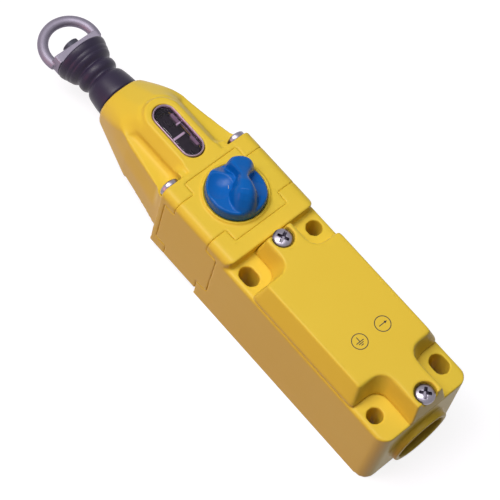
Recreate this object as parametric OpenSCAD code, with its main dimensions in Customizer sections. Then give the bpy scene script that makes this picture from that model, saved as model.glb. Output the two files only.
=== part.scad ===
// Rope pull switch for machine safety: a sprung pull shaft with an eye nut works slide
// contacts, and a reset knob on the front locks or frees the shaft.
// +X is the pull direction, +Z points out of the cover, and the mounting face is at z = 0.
// The origin is the centre of the four fixing holes on the mounting face.

/* [Mounting] */
// Fixing hole spacing along the pull direction
fix_x = 60; // [58:0.5:62]
// Fixing hole spacing across the body
fix_y = 28; // [27:0.5:29]
// Diameter of the fixing holes
fix_d = 5.4; // [5:0.1:5.6]
// Extra length of the two slotted fixing holes
slot_extra = 2; // [1:0.5:2.5]

/* [Housing] */
// Width of the housing at its back
body_w = 40; // [39.5:0.5:42]
// Height of the fixing pads, where the cover meets the base
pad_z = 32; // [31.5:0.5:32.5]
// Rise of the cover above the pads
cover_h = 9.5; // [8.5:0.5:11]
// Height of the front face of the middle block and the head
front_z = 36.5; // [36.5:0.5:38]
// Length of the middle block between its two centre tongues
mid_l = 25.3; // [25:0.1:26]
// Length of the head from the middle block to its nose
head_l = 42.8; // [42:0.2:45]
// Wall thickness of the housing
wall = 3; // [2.6:0.1:3.2]

/* [Knob] */
// Radius of the reset knob's disc
knob_r = 10.2; // [9.5:0.1:10.4]
// Height of the reset knob
knob_h = 11; // [10:0.5:13]
// Direction in which the knob points, from the pull direction
knob_a = -47; // [-60:1:-40]

/* [Pull end] */
// Outer radius of the eye
eye_r = 11.3; // [11:0.1:12]
// Thickness of the eye's ring
eye_wire = 3.8; // [3.4:0.1:4]
// Radius of the rubber boot at the head
boot_r = 8.2; // [8:0.1:8.3]
// Turns of the main spring
spring_turns = 5.5; // [4.5:0.5:6]

/* [Hidden] */
$fn = 64;
axis_z = 17;
back_z = 3;
draft = 0.0425;
lug_l = 4.7;
lug_y = 11;
lug_front = front_z - 5.5;
lug_back = 8.5;
x_end = -fix_x / 2 - 9.5;
x_shoulder = fix_x / 2 + 5.3;
x_base = fix_x / 2 + 10.9;
x_head = x_base + mid_l;
x_flange = x_head + 2.2;
x_nose = x_head + head_l;
knob_x = (x_base + x_head) / 2;
knob_z = front_z + 0.7;
cover_top = pad_z + cover_h;
shaft_r = 4;
run_gap = 0.05;
press_gap = 0.02;
m4_r = 1.95;
screw_y = 14.2;
screw_front = front_z - 3.5;
screw_back = back_z + 3.5;
screw_in = x_base - 4.4;
flute_r = 4.3;
corner_r = 4.5;
conduit_z = 13.5;
conduit_r = 9.25;
boss_r = conduit_r + 1.8;
boss_l = 2.4;
cover_screw_x = [x_shoulder - 4, x_end + 3.7];
cover_seat = cover_top - 2.6;
cavity_x = fix_x / 2 - 8.4;
cavity_y = fix_y / 2 + 1.8;
channel_y = fix_y / 2 - 5.2;
neck_y = 5.2;
neck_z = pad_z - 4;
seat_x = x_nose - 12.5;
boot_x = x_nose - 3;
window_x = x_head + 15.9;
window_a = 6.7;
collar_x = x_head + 8.8;
cup_x = x_nose + 18;
bar_x = cup_x + 3.4;
eye_x = bar_x + 5.1;
contact_x = [-13, 5];
deck_z = 20.5;
terminal_y = 11.5;
block_screw_at = [[-18.1, -terminal_y], [12, terminal_y]];
earth_x = x_end + 11.5;
turn = 57;
pin_at = 3;
pin_r = 1.25;
latch_z = front_z - 11.8;
dog_y = 8.3;
lock_r = 7;
lock_gap = 6.4;
ring_t = 1.6;

// Half width of the drafted housing at height z.
function half_w(z) = body_w / 2 - draft * z;

// Outline of the housing across the pull direction, from z0 to z1 with round front corners.
function case_outline(z0, z1, r) = let (w = half_w(z1 - r)) concat(
    [[half_w(z0), z0]],
    [for (a = [0:15:90]) [w - r + r * cos(a), z1 - r + r * sin(a)]],
    [for (a = [90:15:180]) [r - w + r * cos(a), z1 - r + r * sin(a)]],
    [[-half_w(z0), z0]]);

module box(x, y, z) {
    translate([x[0], y[0], z[0]]) cube([x[1] - x[0], y[1] - y[0], z[1] - z[0]]);
}

module rod_x(r, x0, x1, y = 0, z = axis_z) {
    translate([x0, y, z]) rotate([0, 90, 0]) cylinder(r = r, h = x1 - x0);
}

module rod_z(r, z0, z1, x = 0, y = 0) {
    translate([x, y, z0]) cylinder(r = r, h = z1 - z0);
}

module along_x(x0, x1) {
    translate([x0, 0, 0]) rotate([90, 0, 90]) linear_extrude(x1 - x0) children();
}

module round_rect(x, y, r) {
    translate([x[0] + r, y[0]]) square([x[1] - x[0] - 2 * r, y[1] - y[0]]);
    translate([x[0], y[0] + r]) square([x[1] - x[0], y[1] - y[0] - 2 * r]);
    for (px = [x[0] + r, x[1] - r], py = [y[0] + r, y[1] - r])
        translate([px, py]) circle(r);
}

module obround(a, r) {
    for (x = [-a, a]) translate([x, 0]) circle(r);
    square([2 * a, 2 * r], center = true);
}

// The four corners of the casing, where the long screws run.
module corners() {
    for (s = [-1, 1]) {
        translate([0, s * screw_y, screw_front]) children();
        translate([0, s * screw_y, screw_back]) children();
    }
}

// The four corner spaces where one casing part reaches into the next.
module lug_space(x0, x1) {
    for (s = [-1, 1]) {
        y = s > 0 ? [lug_y, body_w] : [-body_w, -lug_y];
        box([x0, x1], y, [lug_front, front_z + 1]);
        box([x0, x1], y, [-1, lug_back]);
    }
}

module lugs(x0, x1, z0) {
    intersection() {
        along_x(x0, x1) polygon(case_outline(z0, front_z, 3));
        lug_space(x0, x1);
    }
}

// Cross-recessed pan head screw, head up, with the underside of its head at z = 0.
module pan_screw(r, l, head_r, head_h) {
    difference() {
        union() {
            rod_z(r, -l, 0.01);
            rod_z(head_r, 0, head_h * 0.55);
            translate([0, 0, head_h * 0.55])
                cylinder(r1 = head_r, r2 = head_r * 0.72, h = head_h * 0.45);
        }
        for (a = [0, 90]) rotate(a)
            translate([-head_r * 0.6, -head_r * 0.12, head_h * 0.45])
                cube([head_r * 1.2, head_r * 0.24, head_h]);
    }
}

// What the round upright corner at the end leaves outside, leaning with the drafted side.
module end_corner(s) {
    translate([x_end, s * body_w / 2, 0]) rotate([s * atan(draft), 0, 0]) difference() {
        translate([-1, s > 0 ? -corner_r : -1, -2]) cube([corner_r + 1, corner_r + 1, pad_z + 4]);
        translate([corner_r, -s * corner_r, -3]) cylinder(r = corner_r, h = pad_z + 6);
    }
}

module base_housing() {
    color("gold") difference() {
        union() {
            along_x(x_end, x_base) polygon(case_outline(0, pad_z, 1.2));
            intersection() {
                along_x(x_shoulder, x_base) polygon(case_outline(pad_z - 2, front_z, 3));
                linear_extrude(front_z + 1) round_rect([x_shoulder, x_base + 9],
                    [-half_w(pad_z), half_w(pad_z)], 3);
            }
            lugs(x_base - 0.5, x_base + lug_l, 0);
            rod_x(boss_r, x_end - boss_l, x_end + 1, 0, conduit_z);
        }
        for (s = [-1, 1]) end_corner(s);
        difference() {
            union() {
                linear_extrude(pad_z + 1)
                    round_rect([-cavity_x, cavity_x], [-cavity_y, cavity_y], 3);
                box([x_end + wall, x_shoulder], [-neck_y, neck_y], [wall, pad_z + 1]);
                box([x_end + wall, x_shoulder], [-channel_y, channel_y], [wall, neck_z]);
            }
            box([x_end, x_base], [-body_w, body_w], [-1, wall]);
            for (x = cover_screw_x) rod_z(3.6, neck_z - 4, pad_z, x);
            for (x = [x_end + 1, x_shoulder - 1]) translate([0, 0, neck_z - 4])
                linear_extrude(pad_z - neck_z + 4) translate([x, 0])
                    square([5.6, 7.2], center = true);
            for (p = block_screw_at) rod_z(3, 0, 7, p[0], p[1]);
            rod_z(3.4, 0, 7, earth_x);
        }
        rod_x(conduit_r, x_end - boss_l - 1, x_end + wall + 1, 0, conduit_z);
        rod_x(6, x_shoulder - 1, x_base + 1);
        for (x = cover_screw_x) rod_z(m4_r, neck_z - 3, pad_z + 1, x);
        for (s = [-1, 1]) {
            translate([s * fix_x / 2, -s * fix_y / 2, -1])
                cylinder(d = fix_d, h = pad_z + 2);
            translate([s * fix_x / 2, s * fix_y / 2, -1]) linear_extrude(pad_z + 2)
                obround(slot_extra / 2, fix_d / 2);
        }
        corners() rod_x(m4_r, screw_in - 0.5, x_base + lug_l + 1, 0, 0);
        for (p = block_screw_at) rod_z(1.3, 1.5, 8, p[0], p[1]);
        rod_z(1.7, 1.5, 8, earth_x);
    }
}

// The cover keeps clear of the four fixing pads with round-cornered, sloping cut-outs.
module pad_cut(inset, z) {
    translate([0, 0, z]) linear_extrude(0.02)
        round_rect([fix_x / 2 - 5.7 - inset, fix_x], [fix_y / 2 - 6.3 - inset, fix_x], 4.5);
}

module base_cover() {
    y0 = half_w(pad_z) - 0.1;
    color("gold") difference() {
        hull() {
            translate([0, 0, pad_z]) linear_extrude(1.6)
                round_rect([x_end, x_shoulder - 0.1], [-y0, y0], corner_r);
            translate([0, 0, cover_top - 0.1]) linear_extrude(0.1)
                round_rect([x_end + 1.4, x_shoulder - 1.6], [3.2 - y0, y0 - 3.2], 3);
        }
        for (sx = [0, 1], sy = [0, 1]) mirror([sx, 0, 0]) mirror([0, sy, 0]) hull() {
            pad_cut(0, pad_z - 0.5);
            pad_cut(2.6, cover_top + 0.5);
        }
        translate([0, 0, pad_z - 1]) linear_extrude(cover_h - 1.6)
            round_rect([3 - cavity_x, cavity_x - 3], [3 - cavity_y, cavity_y - 3], 2);
        translate([0, 0, pad_z - 1]) linear_extrude(1.9) gasket_outline();
        for (x = cover_screw_x) {
            rod_z(2.2, pad_z - 1, cover_top + 1, x);
            rod_z(3.8, cover_seat, cover_top + 1, x);
        }
    }
}

// A ring that follows the opening of the base, narrow over the two end channels.
module gasket_outline() {
    difference() {
        union() {
            round_rect([-cavity_x - 1.5, cavity_x + 1.5], [-cavity_y - 1.3, cavity_y + 1.3], 3);
            square([2 * cavity_x + 8, 2 * neck_y + 3], center = true);
        }
        round_rect([-cavity_x - 0.3, cavity_x + 0.3], [-cavity_y - 0.3, cavity_y + 0.3], 3);
        square([2 * cavity_x + 5.6, 2 * neck_y + 0.6], center = true);
    }
}

module cover_gasket() {
    color("dimgray") translate([0, 0, pad_z]) linear_extrude(0.9) gasket_outline();
}

module cover_screws() {
    color("silver") for (x = cover_screw_x) translate([x, 0, cover_seat])
        rotate(20) pan_screw(m4_r - run_gap, cover_seat - neck_z - 1, 3.4, 2.4);
}

module middle_block() {
    color("gold") difference() {
        union() {
            along_x(x_base, x_head) polygon(case_outline(back_z, front_z, 3));
            rod_z(knob_r + 1, front_z - 1, front_z + 0.8, knob_x);
        }
        lug_space(x_base - 1, x_base + lug_l);
        lug_space(x_head - lug_l, x_head + 1);
        box([x_base - 1, x_head + 1], [-9.5, 9.5], [9, front_z - 6.5]);
        for (x = [x_base - 1, x_head - 0.8]) along_x(x, x + 1.8) joint_ring();
        rod_z(3.5 + run_gap, front_z - 10, front_z + 2, knob_x);
        rod_z(knob_r + 0.3, front_z, front_z + 2, knob_x);
        rod_z(5.2, front_z - 1.4, front_z + 1, knob_x);
        corners() rod_x(2.15, x_base, x_head, 0, 0);
    }
}

module joint_ring() {
    z0 = 9;
    z1 = front_z - 6.5;
    difference() {
        translate([-10.6, z0 - 1.1]) square([21.2, z1 - z0 + 2.2]);
        translate([-9.5, z0]) square([19, z1 - z0]);
    }
}

module joint_gaskets() {
    color("dimgray") for (x = [x_base, x_head - 0.8]) along_x(x, x + 0.8) joint_ring();
}

// Square with round corners across the pull direction, for the faired head.
module head_slab(x, w, z0, z1, r) {
    along_x(x, x + 0.1) translate([0, (z0 + z1) / 2])
        round_rect([-w, w], [(z0 - z1) / 2, (z1 - z0) / 2], r);
}

module head_housing() {
    brow_x = x_nose - 18.4;
    arch_x = x_nose - 20;
    arch_r = 6.8;
    groove_y = screw_y - flute_r;
    color("gold") difference() {
        union() {
            along_x(x_head, x_flange) polygon(case_outline(back_z, front_z, 3));
            lugs(x_head - lug_l, x_head + 0.5, back_z);
            hull() {
                head_slab(x_flange - 0.2, half_w(front_z) - 0.5, back_z + 0.2, front_z - 0.7, 1.8);
                head_slab(brow_x, 14.1, axis_z - 9.8, front_z - 1, 3.4);
                head_slab(seat_x + 1, 6, axis_z - 8, axis_z + 16.9, 3);
                head_slab(x_nose - 1, 9.8, axis_z - 9.8, axis_z + 9.8, 8.3);
                head_slab(x_nose - 0.1, 9.2, axis_z - 9.2, axis_z + 9.2, 8);
            }
            hull() {
                box([x_flange - 0.1, arch_x], [-arch_r, arch_r], [axis_z + 8, front_z]);
                rod_z(arch_r, axis_z + 8, front_z, arch_x);
                box([x_flange - 0.1, arch_x], [-groove_y + 0.4, groove_y - 0.4],
                    [axis_z + 8, front_z - 2.4]);
                rod_z(arch_r + 1.6, axis_z + 8, front_z - 2.8, arch_x);
            }
        }
        for (s = [-1, 1]) {
            rod_x(flute_r, x_flange, brow_x - 1, s * screw_y, screw_front + 0.8);
            translate([brow_x - 1, s * screw_y, screw_front + 0.8]) sphere(flute_r);
            box([x_flange, brow_x + 2], s > 0 ? [groove_y, body_w] : [-body_w, -groove_y],
                [screw_front + 0.8, front_z + 9]);
            rod_x(3.9, x_flange, arch_x, s * screw_y, screw_back);
        }
        corners() rod_x(2.15, x_head - lug_l - 1, x_flange + 1, 0, 0);
        rod_x(9.2, x_head - 1, seat_x);
        rod_x(7, seat_x - 1, x_nose);
        rod_x(boot_r + 0.2, boot_x, x_nose + 1);
        box([x_head - 1, seat_x], [-4.5, 4.5], [axis_z, front_z - 4]);
        box([seat_x - 1, seat_x + 1.4], [-4.5, 4.5], [axis_z + 11, front_z - 5]);
        translate([window_x, 0, front_z - 5]) linear_extrude(6) obround(window_a, 3.4);
        translate([window_x, 0, front_z - 2.2]) linear_extrude(4) obround(window_a, 4.5);
    }
}

module body_screws() {
    color("silver") corners() translate([x_flange, 0, 0]) rotate([0, 90, 0])
        rotate(25) pan_screw(m4_r - run_gap, x_flange - screw_in, 3.4, 2.4);
}

module window_seal() {
    color("dimgray") translate([window_x, 0, front_z - 2.2]) linear_extrude(0.5)
        difference() {
            obround(window_a, 4.45);
            obround(window_a, 3.4);
        }
}

module window_lens() {
    color("lavender", 0.5) translate([window_x, 0, front_z - 1.7]) difference() {
        linear_extrude(2) obround(window_a, 4.45);
        translate([0, 0, 1.5]) linear_extrude(1) obround(window_a, 3.5);
    }
}

// Carries the flag that shows under the window how far the rope is pulled.
module indicator_slide() {
    top = front_z - 5.4;
    color("dimgray") difference() {
        union() {
            rod_x(8.4, collar_x - 4, collar_x);
            box([collar_x - 4, collar_x], [-3.9, 3.9], [axis_z, top - 1]);
            box([collar_x - 4, window_x + 9.2], [-3.9, 3.9], [top - 1.4, top]);
            for (x = [-8, 6]) translate([window_x + x, 0, 0])
                box([-1.6, 1.6], [-3.4, -0.6], [top - 0.5, top + 0.9]);
        }
        rod_x(shaft_r + press_gap, collar_x - 5, collar_x + 1);
        box([window_x - 0.4, window_x + 0.4], [-3.4, 3.4], [top - 0.4, top + 1]);
    }
}

module indicator_line() {
    color("white")
        box([window_x - 0.4, window_x + 0.4], [-3.4, 3.4], [front_z - 5.8, front_z - 5.3]);
}

module pull_shaft() {
    color("silver") difference() {
        union() {
            rod_x(3, 16, 25);
            rod_x(shaft_r, 24, cup_x - 1);
            rod_x(3, cup_x - 1.1, bar_x + 5.4);
        }
        rod_z(1.25, 0, 40, collar_x + 2);
    }
}

module ring_x(r0, r1, x0, x1) {
    difference() {
        rod_x(r1, x0, x1);
        rod_x(r0, x0 - 1, x1 + 1);
    }
}

module shaft_bush() {
    color("peru") difference() {
        union() {
            rod_x(8.9, seat_x - 1.5, seat_x);
            rod_x(7 - 0.02, seat_x - 0.1, boot_x - 2);
        }
        rod_x(shaft_r + run_gap, seat_x - 3, boot_x);
    }
}

module inner_bush() {
    color("peru") ring_x(shaft_r + run_gap, 5.98, x_shoulder, x_base);
}

module shaft_seal() {
    color("dimgray") difference() {
        rod_x(6.95, boot_x - 2, boot_x);
        rod_x(shaft_r + run_gap, boot_x - 3, boot_x + 1);
        rod_x(5.2, boot_x - 1, boot_x + 1);
    }
}

module spring_seat() {
    color("silver") ring_x(shaft_r + 0.3, 8.6, seat_x - 2.5, seat_x - 1.5);
}

// One point of the coiled wire's skin: turn t of the helix, angle a round the wire.
function wire_point(t, a, mean, wire, rise) = [
    (mean + wire * cos(a)) * cos(360 * t),
    (mean + wire * cos(a)) * sin(360 * t),
    wire + rise * t + wire * sin(a)];

// A round wire swept along a helix between the collar and the seat.
module main_spring() {
    wire = 0.8;
    mean = 6.3;
    sides = 8;
    steps = floor(20 * spring_turns);
    x0 = collar_x + 4;
    len = seat_x - 2.5 - x0;
    rise = (len - 2 * wire) / spring_turns;
    skin = [for (i = [0:steps], j = [0:sides - 1])
        wire_point(i * spring_turns / steps, -j * 360 / sides, mean, wire, rise)];
    walls = [for (i = [0:steps - 1], j = [0:sides - 1]) let (n = (j + 1) % sides)
        each [[i * sides + j, i * sides + n, (i + 1) * sides + j],
              [i * sides + n, (i + 1) * sides + n, (i + 1) * sides + j]]];
    ends = [[for (j = [0:sides - 1]) sides - 1 - j],
        [for (j = [0:sides - 1]) steps * sides + j]];
    color("silver") translate([x0, 0, axis_z]) rotate([0, 90, 0])
        polyhedron(skin, concat(walls, ends));
}

module spring_collar() {
    color("silver") difference() {
        ring_x(shaft_r + press_gap, 8.6, collar_x, collar_x + 4);
        rod_z(1.25, 0, 40, collar_x + 2);
    }
}

module collar_pin() {
    color("gray") rod_z(1.23, axis_z - 8.4, axis_z + 8.4, collar_x + 2);
}

// Two rings fixed on the shaft: the latch's dog drops in between them to hold the shaft.
module lock_rings() {
    color("silver") for (s = [-1, 1]) {
        x = knob_x + s * (lock_gap + ring_t / 2);
        ring_x(shaft_r + press_gap, lock_r, x - ring_t / 2, x + ring_t / 2);
    }
}

// Moulded bellows: a root ring in the nose, two folds and a cup round the shaft's end.
module rubber_boot() {
    outer = [[boot_r, 0], [boot_r, 4.2], [7.3, 10.5], [6.9, 11.6], [6.1, 12.2], [6.1, 13.2],
        [7.2, 13.8], [7.4, 15], [7.2, 16.6], [6.6, 17.2], [8.4, 18.2], [9.2, 19.4], [9.2, 22.6],
        [8.6, 23.6]];
    inner = [[3.98, 23.6], [3.98, 20], [5.6, 16.8], [5.9, 15], [4.9, 13], [5.4, 11],
        [6.6, 4], [6.9, 0]];
    color([0.16, 0.13, 0.2]) translate([boot_x, 0, axis_z]) rotate([0, 90, 0])
        rotate_extrude() polygon(concat(outer, inner));
}

module boot_washer() {
    color("silver") ring_x(3.1, 7.5, cup_x + 2.6, bar_x);
}

// An open eye on a flat bar, threaded for the end of the shaft.
module eye_nut() {
    tube = eye_wire / 2;
    color("silver") difference() {
        union() {
            intersection() {
                translate([eye_x, 0, axis_z]) rotate_extrude() translate([eye_r - tube, 0])
                    circle(tube, $fn = 32);
                box([bar_x + tube, eye_x + 20], [-20, 20], [0, 40]);
            }
            intersection() {
                box([bar_x, bar_x + 3.2], [-10, 10], [axis_z - 4.4, axis_z + 4.4]);
                rod_x(9.7, bar_x - 1, bar_x + 4);
            }
        }
        rod_x(3.05, bar_x - 1, bar_x + 6.5);
    }
}

module at_knob() {
    translate([knob_x, 0, knob_z]) rotate(knob_a) children();
}

// Round-rimmed disc with a pear-shaped grip that ends in a pointer over the rim, and a
// finger scoop on either side of the grip.
module reset_knob() {
    skirt = knob_h * 0.48;
    rim = 1.5;
    bulb = 5;
    scoop = 7.2;
    color([0.05, 0.33, 0.66]) at_knob() difference() {
        union() {
            cylinder(r = knob_r, h = skirt - rim);
            cylinder(r = knob_r - rim, h = skirt);
            translate([0, 0, skirt - rim]) rotate_extrude() translate([knob_r - rim, 0])
                circle(rim);
            hull() {
                translate([-3.4, 0, knob_h - bulb]) sphere(bulb, $fn = 32);
                translate([-3.4, 0, 2]) cylinder(r = bulb, h = 1, $fn = 32);
                translate([knob_r - 2, 0, 2]) cylinder(r = 3.5, h = knob_h - 4.6, $fn = 32);
                translate([knob_r - 3, 0, 2]) cylinder(r = 2.6, h = knob_h - 3, $fn = 32);
            }
        }
        for (s = [-1, 1]) translate([2.2, s * (scoop + 1.4), knob_h]) sphere(scoop);
        translate([0, 0, -1]) cylinder(r = 3 + press_gap, h = 5);
    }
}

module knob_spindle() {
    color("silver") union() {
        rod_z(3, knob_z + 0.1, knob_z + 3.8, knob_x);
        rod_z(3.5, front_z - 8.5, knob_z, knob_x);
        rod_z(3, knob_z - 0.1, knob_z + 0.2, knob_x);
    }
}

module knob_seal() {
    color("dimgray") translate([knob_x, 0, front_z - 1.3]) rotate_extrude()
        translate([3.54, 0]) square([1.6, 1.2]);
}

// The disc at the spindle's foot, with the pin that drives the latch.
module reset_cam() {
    color("gray") translate([knob_x, 0, 0]) rotate(-turn / 2) union() {
        rod_z(5.6, front_z - 10, front_z - 8.5);
        rod_z(pin_r, latch_z - 0.3, front_z - 9.9, pin_at);
    }
}

// Sliding plate whose cross slot takes the cam's pin.
module latch_slide() {
    swing = pin_at * sin(turn / 2);
    slot_mid = pin_at * (1 + cos(turn / 2)) / 2;
    color("gray") difference() {
        box([knob_x - 5, knob_x + 5], [-dog_y - 1, 4.6], [latch_z, latch_z + 1.5]);
        translate([knob_x + slot_mid, -swing, latch_z - 1]) linear_extrude(4)
            obround(pin_at - slot_mid + 0.1, pin_r + 0.2);
    }
}

// The dog under the slide, which comes between the lock rings.
module latch_dog() {
    color("gray") box([knob_x, knob_x + 2], [-dog_y - 1, -dog_y], [axis_z - 3, latch_z]);
}

module contact_block() {
    color([0.12, 0.12, 0.13]) difference() {
        union() {
            translate([0, 0, wall]) linear_extrude(deck_z - wall)
                round_rect([-20.9, 14.8], [-15, 15], 3);
            for (s = [-1, 1]) box([-5, -3], s > 0 ? [6, 15] : [-15, -6], [deck_z - 1, deck_z + 4.5]);
        }
        box([-22, 16], [-5.2, 5.2], [9.5, deck_z + 1]);
        for (p = block_screw_at) {
            rod_z(1.6, 0, deck_z + 1, p[0], p[1]);
            rod_z(3.1, 0, 7, p[0], p[1]);
        }
        for (x = contact_x, s = [-1, 1])
            rod_z(1.3, deck_z - 7, deck_z + 1, x, s * terminal_y);
    }
}

module block_screws() {
    color("silver") for (p = block_screw_at) translate([p[0], p[1], deck_z])
        pan_screw(1.28, deck_z - 2, 2.4, 1.8);
}

// Slide that the shaft moves between the two rows of fixed contacts.
module contact_carrier() {
    color("ivory") difference() {
        union() {
            box([-18, 26], [-4.8, 4.8], [axis_z - 4.6, deck_z + 1.6]);
            for (x = contact_x) translate([x, 0, 0])
                box([-2.2, 2.2], [-2.4, 2.4], [deck_z + 1, deck_z + 5]);
        }
        rod_x(3.02, 15.8, 27);
        rod_x(4.02, 23.9, 27);
        for (x = contact_x) translate([x, 0, 0])
            box([-1.2, 1.2], [-9, 9], [deck_z + 1.65, deck_z + 2.9]);
    }
}

module contact_bridges() {
    color("goldenrod") for (x = contact_x) translate([x, 0, 0])
        box([-1.15, 1.15], [-8.6, 8.6], [deck_z + 1.65, deck_z + 2.85]);
}

module fixed_contacts() {
    color("goldenrod") for (x = contact_x, s = [-1, 1]) translate([x, 0, 0]) difference() {
        box([-2.6, 2.6], s > 0 ? [5.8, 14.6] : [-14.6, -5.8], [deck_z, deck_z + 1.5]);
        rod_z(1.6, deck_z - 1, deck_z + 2, 0, s * terminal_y);
    }
}

module terminal_screws() {
    color("silver") for (x = contact_x, s = [-1, 1])
        translate([x, s * terminal_y, deck_z + 1.5]) pan_screw(1.28, 7.5, 2.5, 1.9);
}

module earth_clamp() {
    color("silver") difference() {
        box([earth_x - 4, earth_x + 4], [-4, 4], [7, 8]);
        rod_z(2, 6, 9, earth_x);
    }
}

module earth_screw() {
    color("olivedrab") translate([earth_x, 0, 8]) pan_screw(1.68, 6, 3.2, 2.2);
}

base_housing();
base_cover();
cover_gasket();
cover_screws();
middle_block();
joint_gaskets();
head_housing();
body_screws();
window_seal();
window_lens();
indicator_slide();
indicator_line();
pull_shaft();
shaft_bush();
inner_bush();
shaft_seal();
spring_seat();
main_spring();
spring_collar();
collar_pin();
lock_rings();
rubber_boot();
boot_washer();
eye_nut();
reset_knob();
knob_spindle();
knob_seal();
reset_cam();
latch_slide();
latch_dog();
contact_block();
block_screws();
contact_carrier();
contact_bridges();
fixed_contacts();
terminal_screws();
earth_clamp();
earth_screw();
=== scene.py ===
# %% [markdown]
# # A rope pull safety switch, dressed in Blender
#
# The real thing hangs on a machine with a rope through its eye. Pull the rope, or let it go
# slack, and the shaft moves and opens the contacts. The blue knob resets it. The construction
# model already has every piece at its real size, so this lesson only gives the pieces their
# looks: cast edges, paint, plating, rubber and glass. The first cell loads that model.

# %% Load the construction model
import math

import bmesh
import bpy
from mathutils import Matrix, Vector


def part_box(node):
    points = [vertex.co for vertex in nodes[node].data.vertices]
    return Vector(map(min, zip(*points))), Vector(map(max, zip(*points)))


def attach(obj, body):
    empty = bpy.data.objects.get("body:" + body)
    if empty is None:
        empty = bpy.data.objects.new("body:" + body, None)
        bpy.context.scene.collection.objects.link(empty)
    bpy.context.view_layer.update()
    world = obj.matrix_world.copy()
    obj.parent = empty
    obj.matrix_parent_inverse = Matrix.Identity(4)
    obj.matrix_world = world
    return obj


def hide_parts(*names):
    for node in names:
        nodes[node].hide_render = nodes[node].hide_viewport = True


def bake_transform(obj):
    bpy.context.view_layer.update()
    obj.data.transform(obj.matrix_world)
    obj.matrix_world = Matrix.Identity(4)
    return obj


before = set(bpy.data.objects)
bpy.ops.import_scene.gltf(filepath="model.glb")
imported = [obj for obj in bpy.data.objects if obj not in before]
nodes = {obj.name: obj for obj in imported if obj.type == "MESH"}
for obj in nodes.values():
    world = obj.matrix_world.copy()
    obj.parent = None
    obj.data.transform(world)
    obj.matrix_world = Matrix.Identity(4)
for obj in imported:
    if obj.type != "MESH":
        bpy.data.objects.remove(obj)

MM = 0.001
scene = bpy.context.scene
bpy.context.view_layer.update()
print("construction pieces:", len(nodes))

# %% [markdown]
# ## The camera
#
# A long lens keeps the casing's parallel edges nearly parallel. The switch lies diagonally in
# the frame, so the camera rolls until the pull direction leans 42 degrees to the left of
# upright. A look-at constraint could do it, but three vectors are exact and stay readable.

# %% Place the camera
CAMERA_AT = Vector((-0.1339, 0.2658, 0.6726))
LOOKS_AT = Vector((0.0400, 0.0029, 0.0200))
PULL_LEANS = math.radians(42.2)
LENS_MM = 160.4
SENSOR_MM = 36
NEAREST_SEEN = 0.01

view = (LOOKS_AT - CAMERA_AT).normalized()
pull = Vector((1, 0, 0))
upright = (pull - view * pull.dot(view)).normalized()
up = Matrix.Rotation(PULL_LEANS, 3, view) @ upright
right = view.cross(up)

camera = bpy.data.objects.new("camera", bpy.data.cameras.new("camera"))
camera.matrix_world = Matrix((
    (right.x, up.x, -view.x, CAMERA_AT.x),
    (right.y, up.y, -view.y, CAMERA_AT.y),
    (right.z, up.z, -view.z, CAMERA_AT.z),
    (0, 0, 0, 1)))
camera.data.lens = LENS_MM
camera.data.sensor_width = SENSOR_MM
camera.data.clip_start = NEAREST_SEEN
scene.collection.objects.link(camera)
scene.camera = camera
print("camera is", round((LOOKS_AT - CAMERA_AT).length, 3), "m from the switch")

# %% [markdown]
# ## Light
#
# The switch looks like a product on a table near a large window: bright from above and from
# the eye's side, with a soft, slightly violet shade on the flanks. A sky texture could light
# it, but its sun would draw hard edges. Large area lamps give the broad highlights that satin
# paint shows. The world is a weak violet fill, and it turns bright only for the camera, for
# reflections and through glass, so that metal mirrors a bright room.

# %% Colours as they look on a screen
scene.view_settings.view_transform = "Standard"


def linear(red, green, blue):
    """A colour given as it looks on a screen, from 0 to 255, in Blender's linear values."""
    def one(value):
        value /= 255
        return value / 12.92 if value <= 0.04045 else ((value + 0.055) / 1.055) ** 2.4
    return one(red), one(green), one(blue), 1.0


print("a screen's middle grey is", round(linear(128, 128, 128)[0], 3), "in linear values")

# %% Start the world with a weak fill
FILL_COLOUR = linear(226, 214, 232)
FILL_STRENGTH = 0.09


def empty_tree(owner):
    """Clears the nodes of a material or a world and gives its tree."""
    owner.use_nodes = True
    owner.node_tree.nodes.clear()
    return owner.node_tree


def link(tree, source, output, target, socket):
    """Joins one node's output to another node's input."""
    tree.links.new(source.outputs[output], target.inputs[socket])


scene.world = bpy.data.worlds.new("bright room")
world_tree = empty_tree(scene.world)
fill = world_tree.nodes.new("ShaderNodeBackground")
fill.inputs["Color"].default_value = FILL_COLOUR
fill.inputs["Strength"].default_value = FILL_STRENGTH
print("fill colour:", [round(value, 3) for value in FILL_COLOUR[:3]])

# %% Show a bright room to the camera and in reflections
def mixed(tree, share, first, second):
    """Mixes two shaders. A share of 0 shows the first, and 1 shows the second."""
    mix = tree.nodes.new("ShaderNodeMixShader")
    for socket, source in enumerate((share, first, second)):
        link(tree, source, 0, mix, socket)
    return mix


def seen_in_reflections(tree):
    """1 for rays from the camera, from gloss or through glass, and 0 for lighting rays."""
    path = tree.nodes.new("ShaderNodeLightPath")
    camera_or_gloss = tree.nodes.new("ShaderNodeMath")
    any_of_three = tree.nodes.new("ShaderNodeMath")
    camera_or_gloss.operation = any_of_three.operation = "MAXIMUM"
    link(tree, path, "Is Camera Ray", camera_or_gloss, 0)
    link(tree, path, "Is Glossy Ray", camera_or_gloss, 1)
    link(tree, camera_or_gloss, 0, any_of_three, 0)
    link(tree, path, "Is Transmission Ray", any_of_three, 1)
    return any_of_three


room = world_tree.nodes.new("ShaderNodeBackground")
output = world_tree.nodes.new("ShaderNodeOutputWorld")
link(world_tree, mixed(world_tree, seen_in_reflections(world_tree), fill, room), 0, output, 0)
print("world nodes:", len(world_tree.nodes))

# %% Hang the lamps
SWITCH_MIDDLE = Vector((0.045, 0, 0.02))


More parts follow.
